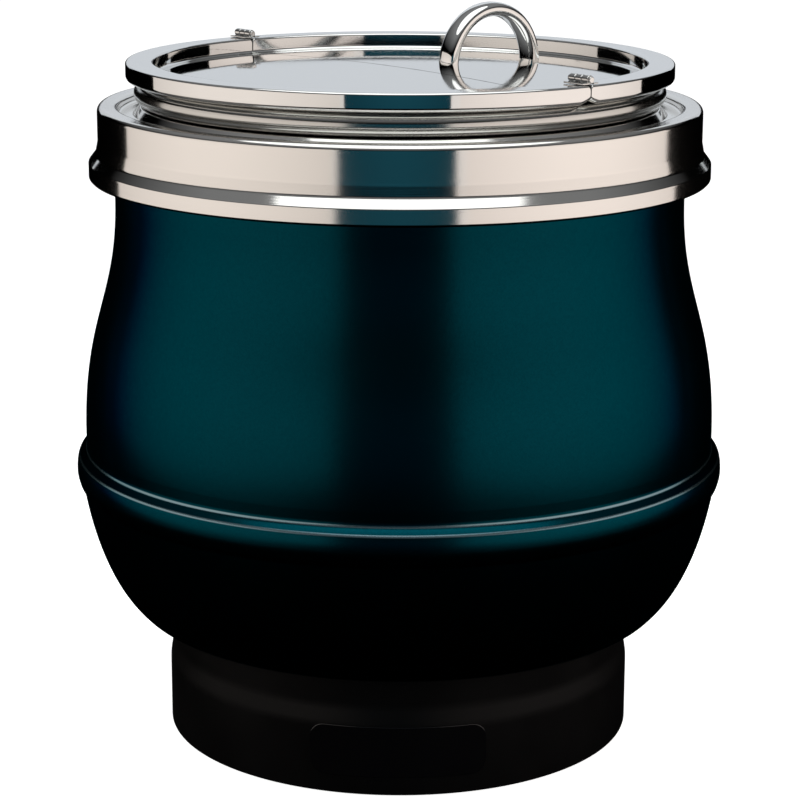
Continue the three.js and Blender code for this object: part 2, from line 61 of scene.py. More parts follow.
# ---------------------------------------------------------------- places taken from the frame
def reach(node):
    """Outer radius of a CAD node turned about Z."""
    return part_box(node)[1].x / MM


def bottom(node):
    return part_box(node)[0].z / MM


def top(node):
    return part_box(node)[1].z / MM


def middle(*nodes):
    """Centre of the box round some CAD nodes, in metres."""
    low = [min(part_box(n)[0][axis] for n in nodes) for axis in range(3)]
    high = [max(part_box(n)[1][axis] for n in nodes) for axis in range(3)]
    return (Vector(low) + Vector(high)) / 2


def azimuth(node):
    """Direction of a CAD node from the Z axis, in degrees from +X."""
    place = middle(node)
    return math.degrees(math.atan2(place.y, place.x))


def joint(name):
    return next(j for j in frame["joints"] if j["name"] == name)


HINGE_AXIS = Vector(joint("lid_hinge")["axis"])
HINGE_AZIMUTH = math.degrees(math.atan2(HINGE_AXIS.y, HINGE_AXIS.x))
HINGE_HEIGHT = joint("lid_hinge")["pos_m"][2] / MM


# ---------------------------------------------------------------- outlines of radius and height
# An outline is a list of runs, and a run is a list of (point, normal) that is smooth from end to end.
# It goes anticlockwise, so the material is on its left and its normals point to its right.
def unit(x, y):
    size = math.hypot(x, y)
    return (x / size, y / size)


def straight(a, b):
    normal = unit(b[1] - a[1], a[0] - b[0])
    return [(a, normal), (b, normal)]


def bezier(steps, *corners):
    """A Bezier curve of any degree."""
    run = []
    for i in range(steps + 1):
        t = i / steps
        level = [Vector(c) for c in corners]
        while len(level) > 2:
            level = [p.lerp(q, t) for p, q in zip(level, level[1:])]
        along = level[1] - level[0]
        place = level[0].lerp(level[1], t)
        run.append(((place.x, place.y), unit(along.y, -along.x)))
    return run


def corner_arc(before, corner, after, radius, steps):
    """The arc of a radius that is tangent to both sides of a corner."""
    into = Vector(unit(corner[0] - before[0], corner[1] - before[1]))
    out = Vector(unit(after[0] - corner[0], after[1] - corner[1]))
    turn = math.atan2(into.x * out.y - into.y * out.x, into.dot(out))
    side = 1 if turn > 0 else -1
    start = Vector(corner) - into * radius * math.tan(abs(turn) / 2)
    centre = start + Vector((-into.y, into.x)) * radius * side
    run = []
    for i in range(steps + 1):
        spoke = start - centre
        spoke.rotate(Matrix.Rotation(turn * i / steps, 2))
        normal = spoke.normalized() * side
        run.append((tuple(centre + spoke), tuple(normal)))
    return run


def rounded(*corners, closed=True, steps=6):
    """Straight sides between (radius, height, fillet) corners."""
    count = len(corners)
    arcs = []
    for i, (r, z, fillet) in enumerate(corners):
        if fillet and (closed or 0 < i < count - 1):
            following = corners[(i + 1) % count][:2]
            arcs.append(corner_arc(corners[i - 1][:2], (r, z), following, fillet, steps))
        else:
            arcs.append(None)
    runs = []
    for i in range(count if closed else count - 1):
        j = (i + 1) % count
        start = arcs[i][-1][0] if arcs[i] else corners[i][:2]
        end = arcs[j][0][0] if arcs[j] else corners[j][:2]
        if math.dist(start, end) > 1e-4:
            runs.append(straight(start, end))
        if arcs[j]:
            runs.append(arcs[j])
    return runs


def sheet(runs, thickness):
    """A closed outline: the outer face that is given, and the same face moved inwards."""
    inside = []
    for run in reversed(runs):
        moved = [((p[0] - n[0] * thickness, p[1] - n[1] * thickness), (-n[0], -n[1])) for p, n in run]
        inside.append(moved[::-1])
    ends = [straight(runs[-1][-1][0], inside[0][0][0]), straight(inside[-1][-1][0], runs[0][0][0])]
    return [*runs, ends[0], *inside, ends[1]]


# ---------------------------------------------------------------- meshes
def new_object(name, mesh):
    made = bpy.data.objects.new(name, mesh)
    bpy.context.scene.collection.objects.link(made)
    return made


def outwards(degrees, height):
    """Turns a piece built along +Z so that it points away from the Z axis; height in millimetres."""
    turn = Matrix.Rotation(math.radians(degrees), 4, "Z") @ Matrix.Rotation(math.pi / 2, 4, "Y")
    return Matrix.Translation((0, 0, height * MM)) @ turn


def ring_angles(steps, start, sweep):
    """Evenly spaced angles; a part turn is closer spaced near its two ends."""
    if sweep >= 360:
        return [math.radians(start + sweep * i / steps) for i in range(steps)]
    angles = []
    for i in range(steps + 1):
        t = i / steps
        eased = t - 0.13 * math.sin(2 * math.pi * t)
        angles.append(math.radians(start + sweep * eased))
    return angles


def cap(faces, normals, ring, outline, out):
    """Closes one end of a part turn with a flat face.
    out is its normal, followed by 1 at the first end and -1 at the last."""
    points = [Vector((p[0], p[1], 0)) for p in outline]
    for triangle in tessellate_polygon([points]):
        a, b, c = [points[i] for i in triangle]
        anticlockwise = (b - a).cross(c - a).z > 0
        order = triangle if anticlockwise == (out[3] < 0) else triangle[::-1]
        faces.append([ring[i] for i in order])
        normals.extend([out[:3]] * 3)


def spot(point):
    """A point that two runs share, rounded so that it is found again."""
    return (round(point[0], 4), round(point[1], 4))


def outline_points(runs):
    """The outline's points, each one once, with the place and the length along the outline of each."""
    points, where, lengths = [], {}, {}
    along = 0
    for run in runs:
        for i, (p, _) in enumerate(run):
            if i:
                along += math.dist(run[i - 1][0], p)
            key = spot(p)
            if key not in where:
                where[key] = len(points)
                points.append(key)
                lengths[key] = along
    return points, where, lengths


def turned_vertices(points, angles, shape):
    """One vertex for each point at each angle; a point on the axis has only one."""
    vertices, at = [], {}
    for k, angle in enumerate(angles):
        for i, (r, z) in enumerate(points):
            if r < 1e-6 and k:
                at[k, i] = at[0, i]
                continue
            at[k, i] = len(vertices)
            radius, height = shape(angle, r, z) if shape else (r, z)
            vertices.append(Vector((radius * math.cos(angle), radius * math.sin(angle), height)) * MM)
    return vertices, at


def turned_faces(runs, where, lengths, angles, at, full):
    """The faces between neighbouring angles, with a normal and a map place for each corner."""
    faces, normals, uvs = [], [], []
    for run in runs:
        for (p, n), (q, m) in zip(run, run[1:]):
            i, j = where[spot(p)], where[spot(q)]
            if i == j:
                continue
            for k in range(len(angles) if full else len(angles) - 1):
                nxt = (k + 1) % len(angles)
                a, b = angles[k], angles[k] + (angles[nxt] - angles[k]) % (2 * math.pi)
                corners = [
                    (at[k, i], n, a, p),
                    (at[nxt, i], n, b, p),
                    (at[nxt, j], m, b, q),
                    (at[k, j], m, a, q),
                ]
                kept = [c for c, d in zip(corners, corners[1:] + corners[:1]) if c[0] != d[0]]
                if len(kept) < 3:
                    continue
                faces.append([c[0] for c in kept])
                for _, (nr, nz), angle, place in kept:
                    normals.append((nr * math.cos(angle), nr * math.sin(angle), nz))
                    uvs.append((angle / (2 * math.pi), lengths[spot(place)] * MM))
    return faces, normals, uvs


def turned(name, runs, steps=ROUND, start=0, sweep=360, place=None, shape=None):
    """Turns an outline about Z, or part of the way with flat ends, and gives it exact normals.
    shape(angle, radius, height) may move a point; the normals are then worked out from the faces."""
    angles = ring_angles(steps, start, sweep)
    full = sweep >= 360
    points, where, lengths = outline_points(runs)
    vertices, at = turned_vertices(points, angles, shape)
    faces, normals, uvs = turned_faces(runs, where, lengths, angles, at, full)
    if not full:
        for k, sign in ((0, 1), (len(angles) - 1, -1)):
            out = (math.sin(angles[k]) * sign, -math.cos(angles[k]) * sign, 0, sign)
            cap(faces, normals, [at[k, i] for i in range(len(points))], points, out)
        uvs.extend([(0, 0)] * (len(normals) - len(uvs)))
    mesh = bpy.data.meshes.new(name)
    mesh.from_pydata(vertices, [], faces)
    mesh.uv_layers.new(name="turned")
    mesh.uv_layers["turned"].data.foreach_set("uv", [x for uv in uvs for x in uv])
    mesh.validate()
    mesh.polygons.foreach_set("use_smooth", [True] * len(mesh.polygons))
    if shape:
        mesh.set_sharp_from_angle(angle=math.radians(40))
    else:
        mesh.normals_split_custom_set(normals)
    made = new_object(name, mesh)
    if shape:
        weigh_normals(made)
    if place:
        mesh.transform(place)
    return made


def weigh_normals(piece):
    weighted = piece.modifiers.new("face_weighted", "WEIGHTED_NORMAL")
    weighted.keep_sharp = True
    weighted.weight = 80


def soft_box(name, low, high, bevel, place=None):
    """A slab with rounded edges; corners in millimetres."""
    shape = bmesh.new()
    xs, ys, zs = zip(low, high)
    corner = {(i, j, k): shape.verts.new(Vector((xs[i], ys[j], zs[k])) * MM)
              for i in (0, 1) for j in (0, 1) for k in (0, 1)}
    loops = [
        [(0, 0, 0), (0, 1, 0), (1, 1, 0), (1, 0, 0)],
        [(0, 0, 1), (1, 0, 1), (1, 1, 1), (0, 1, 1)],
        [(0, 0, 0), (1, 0, 0), (1, 0, 1), (0, 0, 1)],
        [(1, 0, 0), (1, 1, 0), (1, 1, 1), (1, 0, 1)],
        [(1, 1, 0), (0, 1, 0), (0, 1, 1), (1, 1, 1)],
        [(0, 1, 0), (0, 0, 0), (0, 0, 1), (0, 1, 1)],
    ]
    for loop in loops:
        shape.faces.new([corner[key] for key in loop])
    edges = shape.edges[:]
    bmesh.ops.bevel(shape, geom=edges, offset=bevel * MM, segments=3, affect="EDGES", profile=0.5)
    mesh = bpy.data.meshes.new(name)
    shape.to_mesh(mesh)
    shape.free()
    mesh.polygons.foreach_set("use_smooth", [True] * len(mesh.polygons))
    made = new_object(name, mesh)
    weigh_normals(made)
    if place:
        mesh.transform(place)
    return made


def merge(name, *pieces):
    """Joins closed shells that belong to one piece."""
    with bpy.context.temp_override(active_object=pieces[0], selected_editable_objects=list(pieces)):
        bpy.ops.object.join()
    pieces[0].name = name
    pieces[0].data.name = name
    return pieces[0]


def fit(piece, body, slot, *nodes):
    """Puts a finished piece on its body in place of its CAD nodes."""
    piece.data.materials.clear()
    piece.data.materials.append(MATERIALS[slot])
    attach(piece, body)
    if nodes:
        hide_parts(*nodes)
    return piece


# ---------------------------------------------------------------- material nodes
class Shader:
    """A short way to write a material's nodes."""

    def __init__(self, name):
        self.material = bpy.data.materials.new(name)
        self.material.use_nodes = True
        self.tree = self.material.node_tree
        self.tree.nodes.clear()
        self.output = self.node("ShaderNodeOutputMaterial")
        self.surface = self.node("ShaderNodeBsdfPrincipled")
        self.link(self.surface, "BSDF", self.output, "Surface")
        self.coordinates = self.node("ShaderNodeTexCoord")

    def node(self, kind, inputs=None, **settings):
        made = self.tree.nodes.new(kind)
        for key, value in settings.items():
            setattr(made, key, value)
        for key, value in (inputs or {}).items():
            made.inputs[key].default_value = value
        return made

    def link(self, source, output, target, socket):
        self.tree.links.new(source.outputs[output], target.inputs[socket])

    def set(self, **values):
        for key, value in values.items():
            socket = self.surface.inputs[key.replace("_", " ")]
            colour = socket.type == "RGBA" and len(value) == 3
            socket.default_value = (*value, 1) if colour else value

    def noise(self, scale, detail=2, roughness=0.5, source=None):
        inputs = {"Scale": scale, "Detail": detail, "Roughness": roughness}
        made = self.node("ShaderNodeTexNoise", inputs)
        if source:
            self.link(source, 0, made, "Vector")
        else:
            self.link(self.coordinates, "Object", made, "Vector")
        return made

    def span(self, source, output, low, high, start=0.0, end=1.0):
        """Maps a value from start..end to low..high."""
        inputs = {"From Min": start, "From Max": end, "To Min": low, "To Max": high}
        made = self.node("ShaderNodeMapRange", inputs, clamp=True)
        self.link(source, output, made, "Value")
        return made

    def blend(self, factor, output, first, second):
        """Mixes two colours into the base colour."""
        mix = self.node("ShaderNodeMix", data_type="RGBA")
        mix.inputs[6].default_value = (*first, 1)
        mix.inputs[7].default_value = (*second, 1)
        self.link(factor, output, mix, 0)
        self.tree.links.new(mix.outputs[2], self.surface.inputs["Base Color"])
        return mix

    def bump(self, source, output, strength, distance, onto=None):
        made = self.node("ShaderNodeBump", {"Strength": strength, "Distance": distance})
        self.link(source, output, made, "Height")
        if onto:
            self.link(onto, "Normal", made, "Normal")
        self.link(made, "Normal", self.surface, "Normal")
        return made

    def round_lines(self, pitch, length):
        """Noise drawn out round the Z axis: the lines that a lathe or a polishing wheel leaves."""
        flat = self.node("ShaderNodeVectorMath", operation="MULTIPLY")
        flat.inputs[1].default_value = (1, 1, 0)
        self.link(self.coordinates, "Object", flat, 0)
        radius = self.node("ShaderNodeVectorMath", operation="LENGTH")
        self.link(flat, 0, radius, 0)
        spoke = self.node("ShaderNodeVectorMath", operation="NORMALIZE")
        self.link(flat, 0, spoke, 0)
        split = self.node("ShaderNodeSeparateXYZ")
        self.link(spoke, 0, split, 0)
        height = self.node("ShaderNodeSeparateXYZ")
        self.link(self.coordinates, "Object", height, 0)
        across = self.node("ShaderNodeMath", operation="MULTIPLY_ADD")
        across.inputs[1].default_value = 1.7
        self.link(radius, "Value", across, 0)
        self.link(height, "Z", across, 2)
        scaled = self.node("ShaderNodeMath", operation="MULTIPLY")
        scaled.inputs[1].default_value = 1 / (pitch * MM)
        self.link(across, 0, scaled, 0)
        around = self.node("ShaderNodeVectorMath", operation="SCALE")
        around.inputs["Scale"].default_value = 1 / length
        self.link(spoke, 0, around, 0)
        parts = self.node("ShaderNodeSeparateXYZ")
        self.link(around, 0, parts, 0)
        joined = self.node("ShaderNodeCombineXYZ")
        self.link(parts, "X", joined, "X")
        self.link(parts, "Y", joined, "Y")
        self.link(scaled, 0, joined, "Z")
        return self.noise(1, 3, 0.6, joined)


def turned_steel(name, colour, rough, lines, pitch=0.35, anisotropy=0.0, smudge=0.05):
    """Stainless steel with lines round the axis.
    lines is the strength of their bump, and smudge the spread of roughness."""
    made = Shader(name)
    made.set(Metallic=1.0, Roughness=rough, Anisotropic=anisotropy)
    streaks = made.round_lines(pitch, 0.35)
    clouds = made.noise(14, 4)
    polish = made.span(clouds, 0, max(rough - smudge, 0.02), rough + smudge, 0.3, 0.7)
    made.link(polish, 0, made.surface, "Roughness")
    made.blend(streaks, 0, [c * 0.97 for c in colour], colour)
    made.bump(streaks, 0, lines, 0.0002)
    if anisotropy:
        tangent = made.node("ShaderNodeTangent", direction_type="UV_MAP", uv_map="turned")
        made.link(tangent, "Tangent", made.surface, "Tangent")
    return made.material


def mirror_steel(name, colour, rough):
    """Polished stainless steel with hair-fine wiping marks and faint cloudiness."""
    made = Shader(name)
    made.set(Metallic=1.0)
    wipes = made.node("ShaderNodeMapping")
    wipes.inputs["Scale"].default_value = (1, 9, 1)
    wipes.inputs["Rotation"].default_value = (0, 0, 0.6)
    made.link(made.coordinates, "Object", wipes, "Vector")
    marks = made.noise(160, 4, 0.7, wipes)
    clouds = made.noise(22, 3)
    polish = made.span(clouds, 0, rough, rough + 0.05, 0.35, 0.75)
    made.link(polish, 0, made.surface, "Roughness")
    made.blend(clouds, 0, colour, [c * 0.98 for c in colour])
    made.bump(marks, 0, 0.03, 0.0001)
    return made.material


def dull_metal(name, colour, stain, rough, scale=60, grain=0.15):
    """Plated, cast or drawn metal: cloudy colour, mottled roughness and a fine grain."""
    made = Shader(name)
    made.set(Metallic=1.0)
    clouds = made.noise(scale, 5, 0.6)
    made.blend(clouds, 0, stain, colour)
    polish = made.span(clouds, 0, rough + 0.12, rough - 0.05, 0.3, 0.7)
    made.link(polish, 0, made.surface, "Roughness")
    made.bump(made.noise(scale * 30, 2), 0, grain, 0.0002)
    return made.material


def metallic_paint():
    """Dark blue-green metallic paint: fine flake, slight orange peel, a satin gloss, and a lighter colour painted
    on the bead's two bends as highlight lines.
    """
    made = Shader("metallic_paint")
    made.set(Metallic=1.0, Specular_Tint=(0.02, 0.2, 0.25))
    flake = made.node("ShaderNodeTexVoronoi", {"Scale": 2600.0})
    made.link(made.coordinates, "Object", flake, "Vector")
    sparkle = made.span(flake, "Color", 0.0, 1.0)
    paint = made.blend(sparkle, 0, PAINT_DEEP, PAINT_BRIGHT)
    # painted highlight: a lighter colour mixed in on the bead's two bends stands in for the highlight lines of
    # their edges
    highlight_mix = made.node("ShaderNodeMix", data_type="RGBA")
    highlight_mix.inputs[7].default_value = (*PAINT_HIGHLIGHT, 1)
    made.tree.links.new(paint.outputs[2], highlight_mix.inputs[6])
    made.link(bead_highlight_bands(made), 0, highlight_mix, 0)
    made.tree.links.new(highlight_mix.outputs[2], made.surface.inputs["Base Color"])
    dust = made.noise(9, 5, 0.6)
    satin = made.span(dust, 0, 0.22, 0.27, 0.3, 0.7)
    made.link(satin, 0, made.surface, "Roughness")
    peel = made.bump(made.noise(420, 2), 0, 0.05, 0.0002)
    made.bump(flake, "Distance", 0.06, 0.00006, peel)
    return made.material


def bead_highlight_bands(made):
    """Mask of the painted highlight: 1 on the two narrow bends of the bead, where a lighter colour stands in for
    their highlight lines, and 0 elsewhere.
    """
    place = made.node("ShaderNodeSeparateXYZ")
    made.link(made.coordinates, "Object", place, 0)
    bands = []
    for height in (BEAD_SHOULDER, BEAD_NOTCH):
        offset = made.node("ShaderNodeMath", operation="SUBTRACT")
        offset.inputs[1].default_value = height * MM
        made.link(place, "Z", offset, 0)
        away = made.node("ShaderNodeMath", operation="ABSOLUTE")
        made.link(offset, 0, away, 0)
        bands.append(made.span(away, 0, 1, 0, 0.0003, 0.0007))
    both = made.node("ShaderNodeMath", operation="MAXIMUM")
    made.link(bands[0], 0, both, 0)
    made.link(bands[1], 0, both, 1)
    return both


def moulded_plastic(name, colour, rough, grain=0.25, scale=1500, specular=0.35):
    """Injection-moulded plastic: a fine spark-eroded grain with slight shine where it is handled."""
    made = Shader(name)
    made.set(Specular_IOR_Level=specular)
    handled = made.noise(18, 4)
    shine = made.span(handled, 0, rough - 0.06, rough + 0.06, 0.35, 0.65)
    made.link(shine, 0, made.surface, "Roughness")
    made.blend(handled, 0, colour, [c * 0.82 for c in colour])
    made.bump(made.noise(scale, 3, 0.6), 0, grain, 0.0001)
    return made.material


def gloss_plastic(name, colour):
    made = Shader(name)
    made.set(Specular_IOR_Level=0.5, Coat_Weight=0.4, Coat_Roughness=0.08)
    ripple = made.noise(30, 2)
    shine = made.span(ripple, 0, 0.16, 0.24, 0.3, 0.7)
    made.link(shine, 0, made.surface, "Roughness")
    made.blend(ripple, 0, colour, [c * 0.9 for c in colour])
    made.bump(ripple, 0, 0.02, 0.0005)
    return made.material


def amber_lens():
    """Amber lamp lens with vertical ribs inside."""
    made = Shader("amber_lens")
    made.set(Roughness=0.12, Transmission_Weight=0.35, IOR=1.5, Coat_Weight=0.5)
    ribs = made.node("ShaderNodeTexWave", {"Scale": 900.0, "Distortion": 0.4})
    made.link(made.coordinates, "Object", ribs, "Vector")
    made.blend(ribs, 0, (0.72, 0.2, 0.012), (0.9, 0.34, 0.03))
    made.bump(ribs, 0, 0.15, 0.0003)
    return made.material


def rubber(name, colour, rough=0.75):
    made = Shader(name)
    made.set(Specular_IOR_Level=0.3)
    bloom = made.noise(45, 5, 0.65)
    made.blend(bloom, 0, colour, [min(c * 1.7 + 0.004, 1) for c in colour])
    wear = made.span(bloom, 0, rough, rough + 0.15, 0.35, 0.7)
    made.link(wear, 0, made.surface, "Roughness")
    made.bump(made.noise(2200, 2), 0, 0.3, 0.0002)
    return made.material


def mineral_wool():
    """Matted fibres: stretched noise at two scales."""
    made = Shader("mineral_wool")
    made.set(Roughness=1.0, Sheen_Weight=0.4)
    lay = made.node("ShaderNodeMapping")
    lay.inputs["Scale"].default_value = (1, 1, 5)
    made.link(made.coordinates, "Object", lay, "Vector")
    fibres = made.noise(260, 6, 0.75, lay)
    made.blend(fibres, 0, (0.34, 0.27, 0.13), (0.7, 0.62, 0.42))
    made.bump(fibres, 0, 0.9, 0.002)
    return made.material


BEAD_SHOULDER = 152.3  # heights of the two narrow bends of the body's bead
BEAD_NOTCH = 156
PAINT_DEEP = (0.0004, 0.03, 0.043)
PAINT_BRIGHT = (0.0006, 0.047, 0.064)
# lighter colour painted on the bead's two bends as a painted highlight
PAINT_HIGHLIGHT = (0.2, 0.3, 0.34)

MATERIALS = {
    "body_paint": metallic_paint(),
    "base_plastic": moulded_plastic("black_moulding", (0.0022, 0.0022, 0.0026), 0.42, specular=0.2),
    "badge": gloss_plastic("badge_gloss", (0.004, 0.004, 0.005)),
    "lid_steel": turned_steel("lid_mirror", (0.76, 0.76, 0.75), 0.05, 0.018, 0.5, 0.0, 0.02),
    "handle_steel": mirror_steel("handle_mirror", (0.8, 0.8, 0.79), 0.03),
    "collar_steel": turned_steel("collar_brushed", (0.77, 0.755, 0.73), 0.09, 0.05, 0.3, 0.35, 0.02),
    "hinge_steel": mirror_steel("hinge_bright", (0.72, 0.72, 0.71), 0.12),
    "pot_steel": turned_steel("pot_spun", (0.56, 0.56, 0.54), 0.15, 0.06, 0.6, 0.3, 0.03),
    "well_steel": turned_steel("well_drawn", (0.58, 0.58, 0.56), 0.32, 0.12, 0.9, 0.3, 0.08),
    "rubber": rubber("black_rubber", (0.012, 0.012, 0.012)),
    "zinc_steel": dull_metal("zinc_plate", (0.6, 0.62, 0.66), (0.42, 0.44, 0.47), 0.36),
    "aluminium": dull_metal("cast_aluminium", (0.72, 0.73, 0.74), (0.55, 0.56, 0.57), 0.45, 90, 0.5),
    "silicone": rubber("red_silicone", (0.3, 0.05, 0.03), 0.6),
    "mineral_wool": mineral_wool(),
    "white_plastic": moulded_plastic("white_moulding", (0.78, 0.77, 0.72), 0.42, 0.15),
    "amber_lens": amber_lens(),
    "brass": dull_metal("machined_brass", (0.72, 0.53, 0.24), (0.55, 0.38, 0.15), 0.28, 120, 0.1),
    "copper": dull_metal("drawn_copper", (0.74, 0.4, 0.25), (0.5, 0.24, 0.14), 0.3, 150, 0.1),
    "live_wire": moulded_plastic("brown_insulation", (0.2, 0.08, 0.03), 0.45, 0.1),
    "neutral_wire": moulded_plastic("blue_insulation", (0.04, 0.12, 0.42), 0.45, 0.1),
}


def finish_cad_nodes():
    """Every CAD node takes the material of its slot, so that the inner pieces are finished too."""
    for part in frame["record"]["subparts"]:
        data = frame["nodes"][part["node"]].data
        data.materials.clear()
        data.materials.append(MATERIALS[part["material_slot"]])


# ---------------------------------------------------------------- base
def make_base():
    radius = reach("base_ring")
    high = top("base_ring")
    neck = radius - 1.6
    wall = 4
    outline = rounded(
        (radius - wall, bottom("base_ring"), 0.8),
        (radius, bottom("base_ring"), 1.5),
        (radius, 38, 30),
        (neck, 48, 30),
        (neck, high, 1),
        (100, high, 0.5),
        (100, high - 3, 0.5),
        (neck - wall, high - 3, 1),
        (neck - wall, 48, 0),
        (radius - wall, 38, 0),
    )
    fit(turned("base_moulding", outline), "housing", "base_plastic", "base_ring")
    make_badge(radius)
    make_underside()


def panel_outline(width, height, corner):
    """Points round a rounded rectangle; its upper and lower sides carry the same columns."""
    x, y = width / 2 - corner, height / 2 - corner
    columns = 32
    points = []
    for first, (sx, sy) in enumerate(((1, 1), (-1, 1), (-1, -1), (1, -1))):
        for i in range(9):
            angle = math.pi / 2 * (first + i / 8)
            points.append((sx * x + corner * math.cos(angle), sy * y + corner * math.sin(angle)))
        if sx == sy:
            side = sy * (y + corner)
            points.extend((sx * x * (1 - 2 * i / columns), side) for i in range(1, columns))
    return points


def curved_panel(name, width, height, corner, centre, degrees, inner, thick):
    """A plate that hugs the base: a rounded rectangle wrapped on a cylinder, with eased edges."""
    shape = bmesh.new()
    edge = 0.35
    rings = []
    for inset, depth in ((0, 0), (0, thick - edge), (edge * 0.3, thick - edge * 0.3), (edge, thick)):
        ring = []
        for x, y in panel_outline(width - 2 * inset, height - 2 * inset, corner - inset):
            angle = math.radians(degrees) + x / inner
            r = inner + depth
            place = Vector((r * math.cos(angle), r * math.sin(angle), centre + y))
            ring.append(shape.verts.new(place * MM))
        rings.append(ring)
    count = len(rings[0])
    for low, high in zip(rings, rings[1:]):
        for i in range(count):
            j = (i + 1) % count
            shape.faces.new((low[i], low[j], high[j], high[i]))
    half = count // 2
    for ring in (rings[0], rings[-1]):
        upper, lower = ring[:half], ring[half:][::-1]
        for i in range(half - 1):
            shape.faces.new((upper[i], upper[i + 1], lower[i + 1], lower[i]))
    bmesh.ops.recalc_face_normals(shape, faces=shape.faces[:])
    mesh = bpy.data.meshes.new(name)
    shape.to_mesh(mesh)
    shape.free()
    mesh.polygons.foreach_set("use_smooth", [True] * len(mesh.polygons))
    made = new_object(name, mesh)
    weigh_normals(made)
    return made


def make_badge(radius):
    low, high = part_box("badge_plate")
    panel = curved_panel(
        "badge_blank",
        (high.x - low.x) / MM * 1.03,
        (high.z - low.z) / MM,
        8,
        (high.z + low.z) / 2 / MM,
        -90,
        radius - 0.5,
        1.2,
    )
    fit(panel, "housing", "badge", "badge_plate")


def make_underside():
    plate = reach("base_plate")
    low, high = bottom("base_plate"), top("base_plate")
    disc = rounded((0, low, 0), (plate, low, 0.5), (plate, high, 0.5), (0, high, 0), closed=False)
    fit(turned("underside_plate", disc), "housing", "zinc_steel", "base_plate")
    for i in range(1, 5):
        foot = f"rubber_foot_{i}"
        place = Matrix.Translation(Vector((*middle(foot)[:2], 0)))
        outline = rounded(
            (0, 1, 0),
            (5, 1, 0.6),
            (6, 0, 0.6),
            (9, 0, 1.2),
            (10, 2, 2),
            (10, low - 0.3, 0.8),
            (3, low - 0.3, 0.3),
            (3, high + 0.3, 0.2),
            (4.4, high + 0.3, 0.3),
            (3, high + 3.3, 0.3),
            (0, high + 3.3, 0),
            closed=False,
        )
        fit(turned(f"foot_{i}", outline, FINE, place=place), "housing", "rubber", foot)
        screw = f"base_screw_{i}"
        place = Matrix.Translation(Vector((*middle(screw)[:2], 0)))
        head = bottom(screw)
        outline = rounded(
            (0, head + 0.7, 0),
            (1.1, head + 0.7, 0.2),
            (1.5, head, 0.2),
            (3.2, head + 0.2, 0.9),
            (4, head + 2.3, 0.3),
            (1.7, head + 2.3, 0.2),
            (1.7, top(screw), 0.4),
            (0, top(screw), 0),
            closed=False,
        )
        fit(turned(f"underside_screw_{i}", outline, FINE, place=place), "housing", "zinc_steel", screw)


# ---------------------------------------------------------------- painted body
def make_body():
    floor, high = bottom("body_shell"), top("body_shell")
    bead = reach("body_shell")
    neck = bead - 23.1
    ledge = (169.4, BEAD_SHOULDER + 0.9)
    face = [
        straight((100, floor), (130, floor)),
        bezier(10, (130, floor), (137, floor), (142.3, 71.8)),
        bezier(28, (142.3, 71.8), (161.6, 91.1), (167.5, 131), (168.3, 135.5)),
        bezier(8, (168.3, 135.5), (168.6, 137), (170, 137), (170.6, 139.5)),
        bezier(6, (170.6, 139.5), (171.2, 141.5), (bead, 142.5), (bead, 144.5)),
        bezier(10, (bead, 144.5), (bead, 149), (170.9, BEAD_SHOULDER), ledge),
        bezier(10, ledge, (167, BEAD_NOTCH - 1), (166.3, BEAD_NOTCH - 0.6), (166.3, 158)),
        straight((166.3, 158), (166.4, 163)),
        bezier(32, (166.4, 163), (166.6, 226), (148.6, 234), (neck, 286)),
        straight((neck, 286), (neck, high)),
    ]
    fit(turned("painted_body", sheet(face, 1.4), 256), "housing", "body_paint", "body_shell")


# ---------------------------------------------------------------- collar, well and pot
def make_collar():
    low, high = bottom("collar_band"), top("collar_band")
    bead = reach("collar_band")
    wall = bead - 4.9
    inner = 146
    outline = rounded(
        (149.3, low, 0),
        (bead - 1, low, 0.6),
        (bead, low + 1, 0.8),
        (bead, 307.2, 1.4),
        (wall + 1.2, 312, 3.5),
        (wall, 318, 9),
        (wall, high, 3),
        (inner, high, 2.4),
        (inner, 331, 1.6),
        (138, 331, 1.5),
        (134.6, 336, 1.2),
        (128.3, 336, 1.3),
        (128.3, 331.8, 0),
        (129.3, 331.8, 0),
        (129.3, 335, 0.5),
        (134.2, 335, 0.5),
        (137.4, 330, 0.5),
        (inner + 1, 330, 0.5),
        (inner + 1, high - 1, 0.5),
        (wall - 1, high - 1, 0.8),
        (wall - 1, 312.5, 1),
        (bead - 1.2, 303.8, 1),
        (bead - 1.2, low + 1.2, 0.5),
        (149.3, low + 1.2, 0),
        steps=9,
    )
    fit(turned("steel_collar", outline, 256), "housing", "collar_steel", "collar_band")


def make_well():
    low, high = bottom("water_well"), top("water_well")
    flange = reach("water_well")
    radius = flange - 5
    outline = rounded(
        (0, low, 0),
        (radius, low, 20),
        (radius, high - 1, 0.6),
        (flange, high - 1, 0.3),
        (flange, high, 0.3),
        (radius - 1, high, 1.2),
        (radius - 1, low + 1, 19),
        (0, low + 1, 0),
        closed=False,
        steps=14,
    )
    fit(turned("steel_water_well", outline), "housing", "well_steel", "water_well")


def make_pot():
    low, high = bottom("inner_pot"), top("inner_pot")
    bead_radius = 6.2
    wall = reach("inner_pot") - 2 * bead_radius
    centre = Vector((wall + bead_radius, high - bead_radius))

    def rolled(radius, start, end):
        run = []
        for i in range(25):
            angle = math.radians(start + (end - start) * i / 24)
            spoke = Vector((math.cos(angle), math.sin(angle)))
            side = 1 if end > start else -1
            run.append((tuple(centre + spoke * radius), tuple(spoke * side)))
        return run

    outside = rounded((0, low, 0), (wall + 1, low, 21), (wall + 1, centre.y, 0), closed=False, steps=14)
    inside = rounded((wall, centre.y, 0), (wall, low + 1, 20), (0, low + 1, 0), closed=False, steps=14)
    inner_roll = rolled(bead_radius - 1, 180, -90)
    outer_roll = rolled(bead_radius, -90, 180)
    tip = straight(inner_roll[-1][0], outer_roll[0][0])
    runs = [*outside, inner_roll, tip, outer_roll, *inside]
    fit(turned("spun_pot", runs, 224), "pot", "pot_steel", "inner_pot")


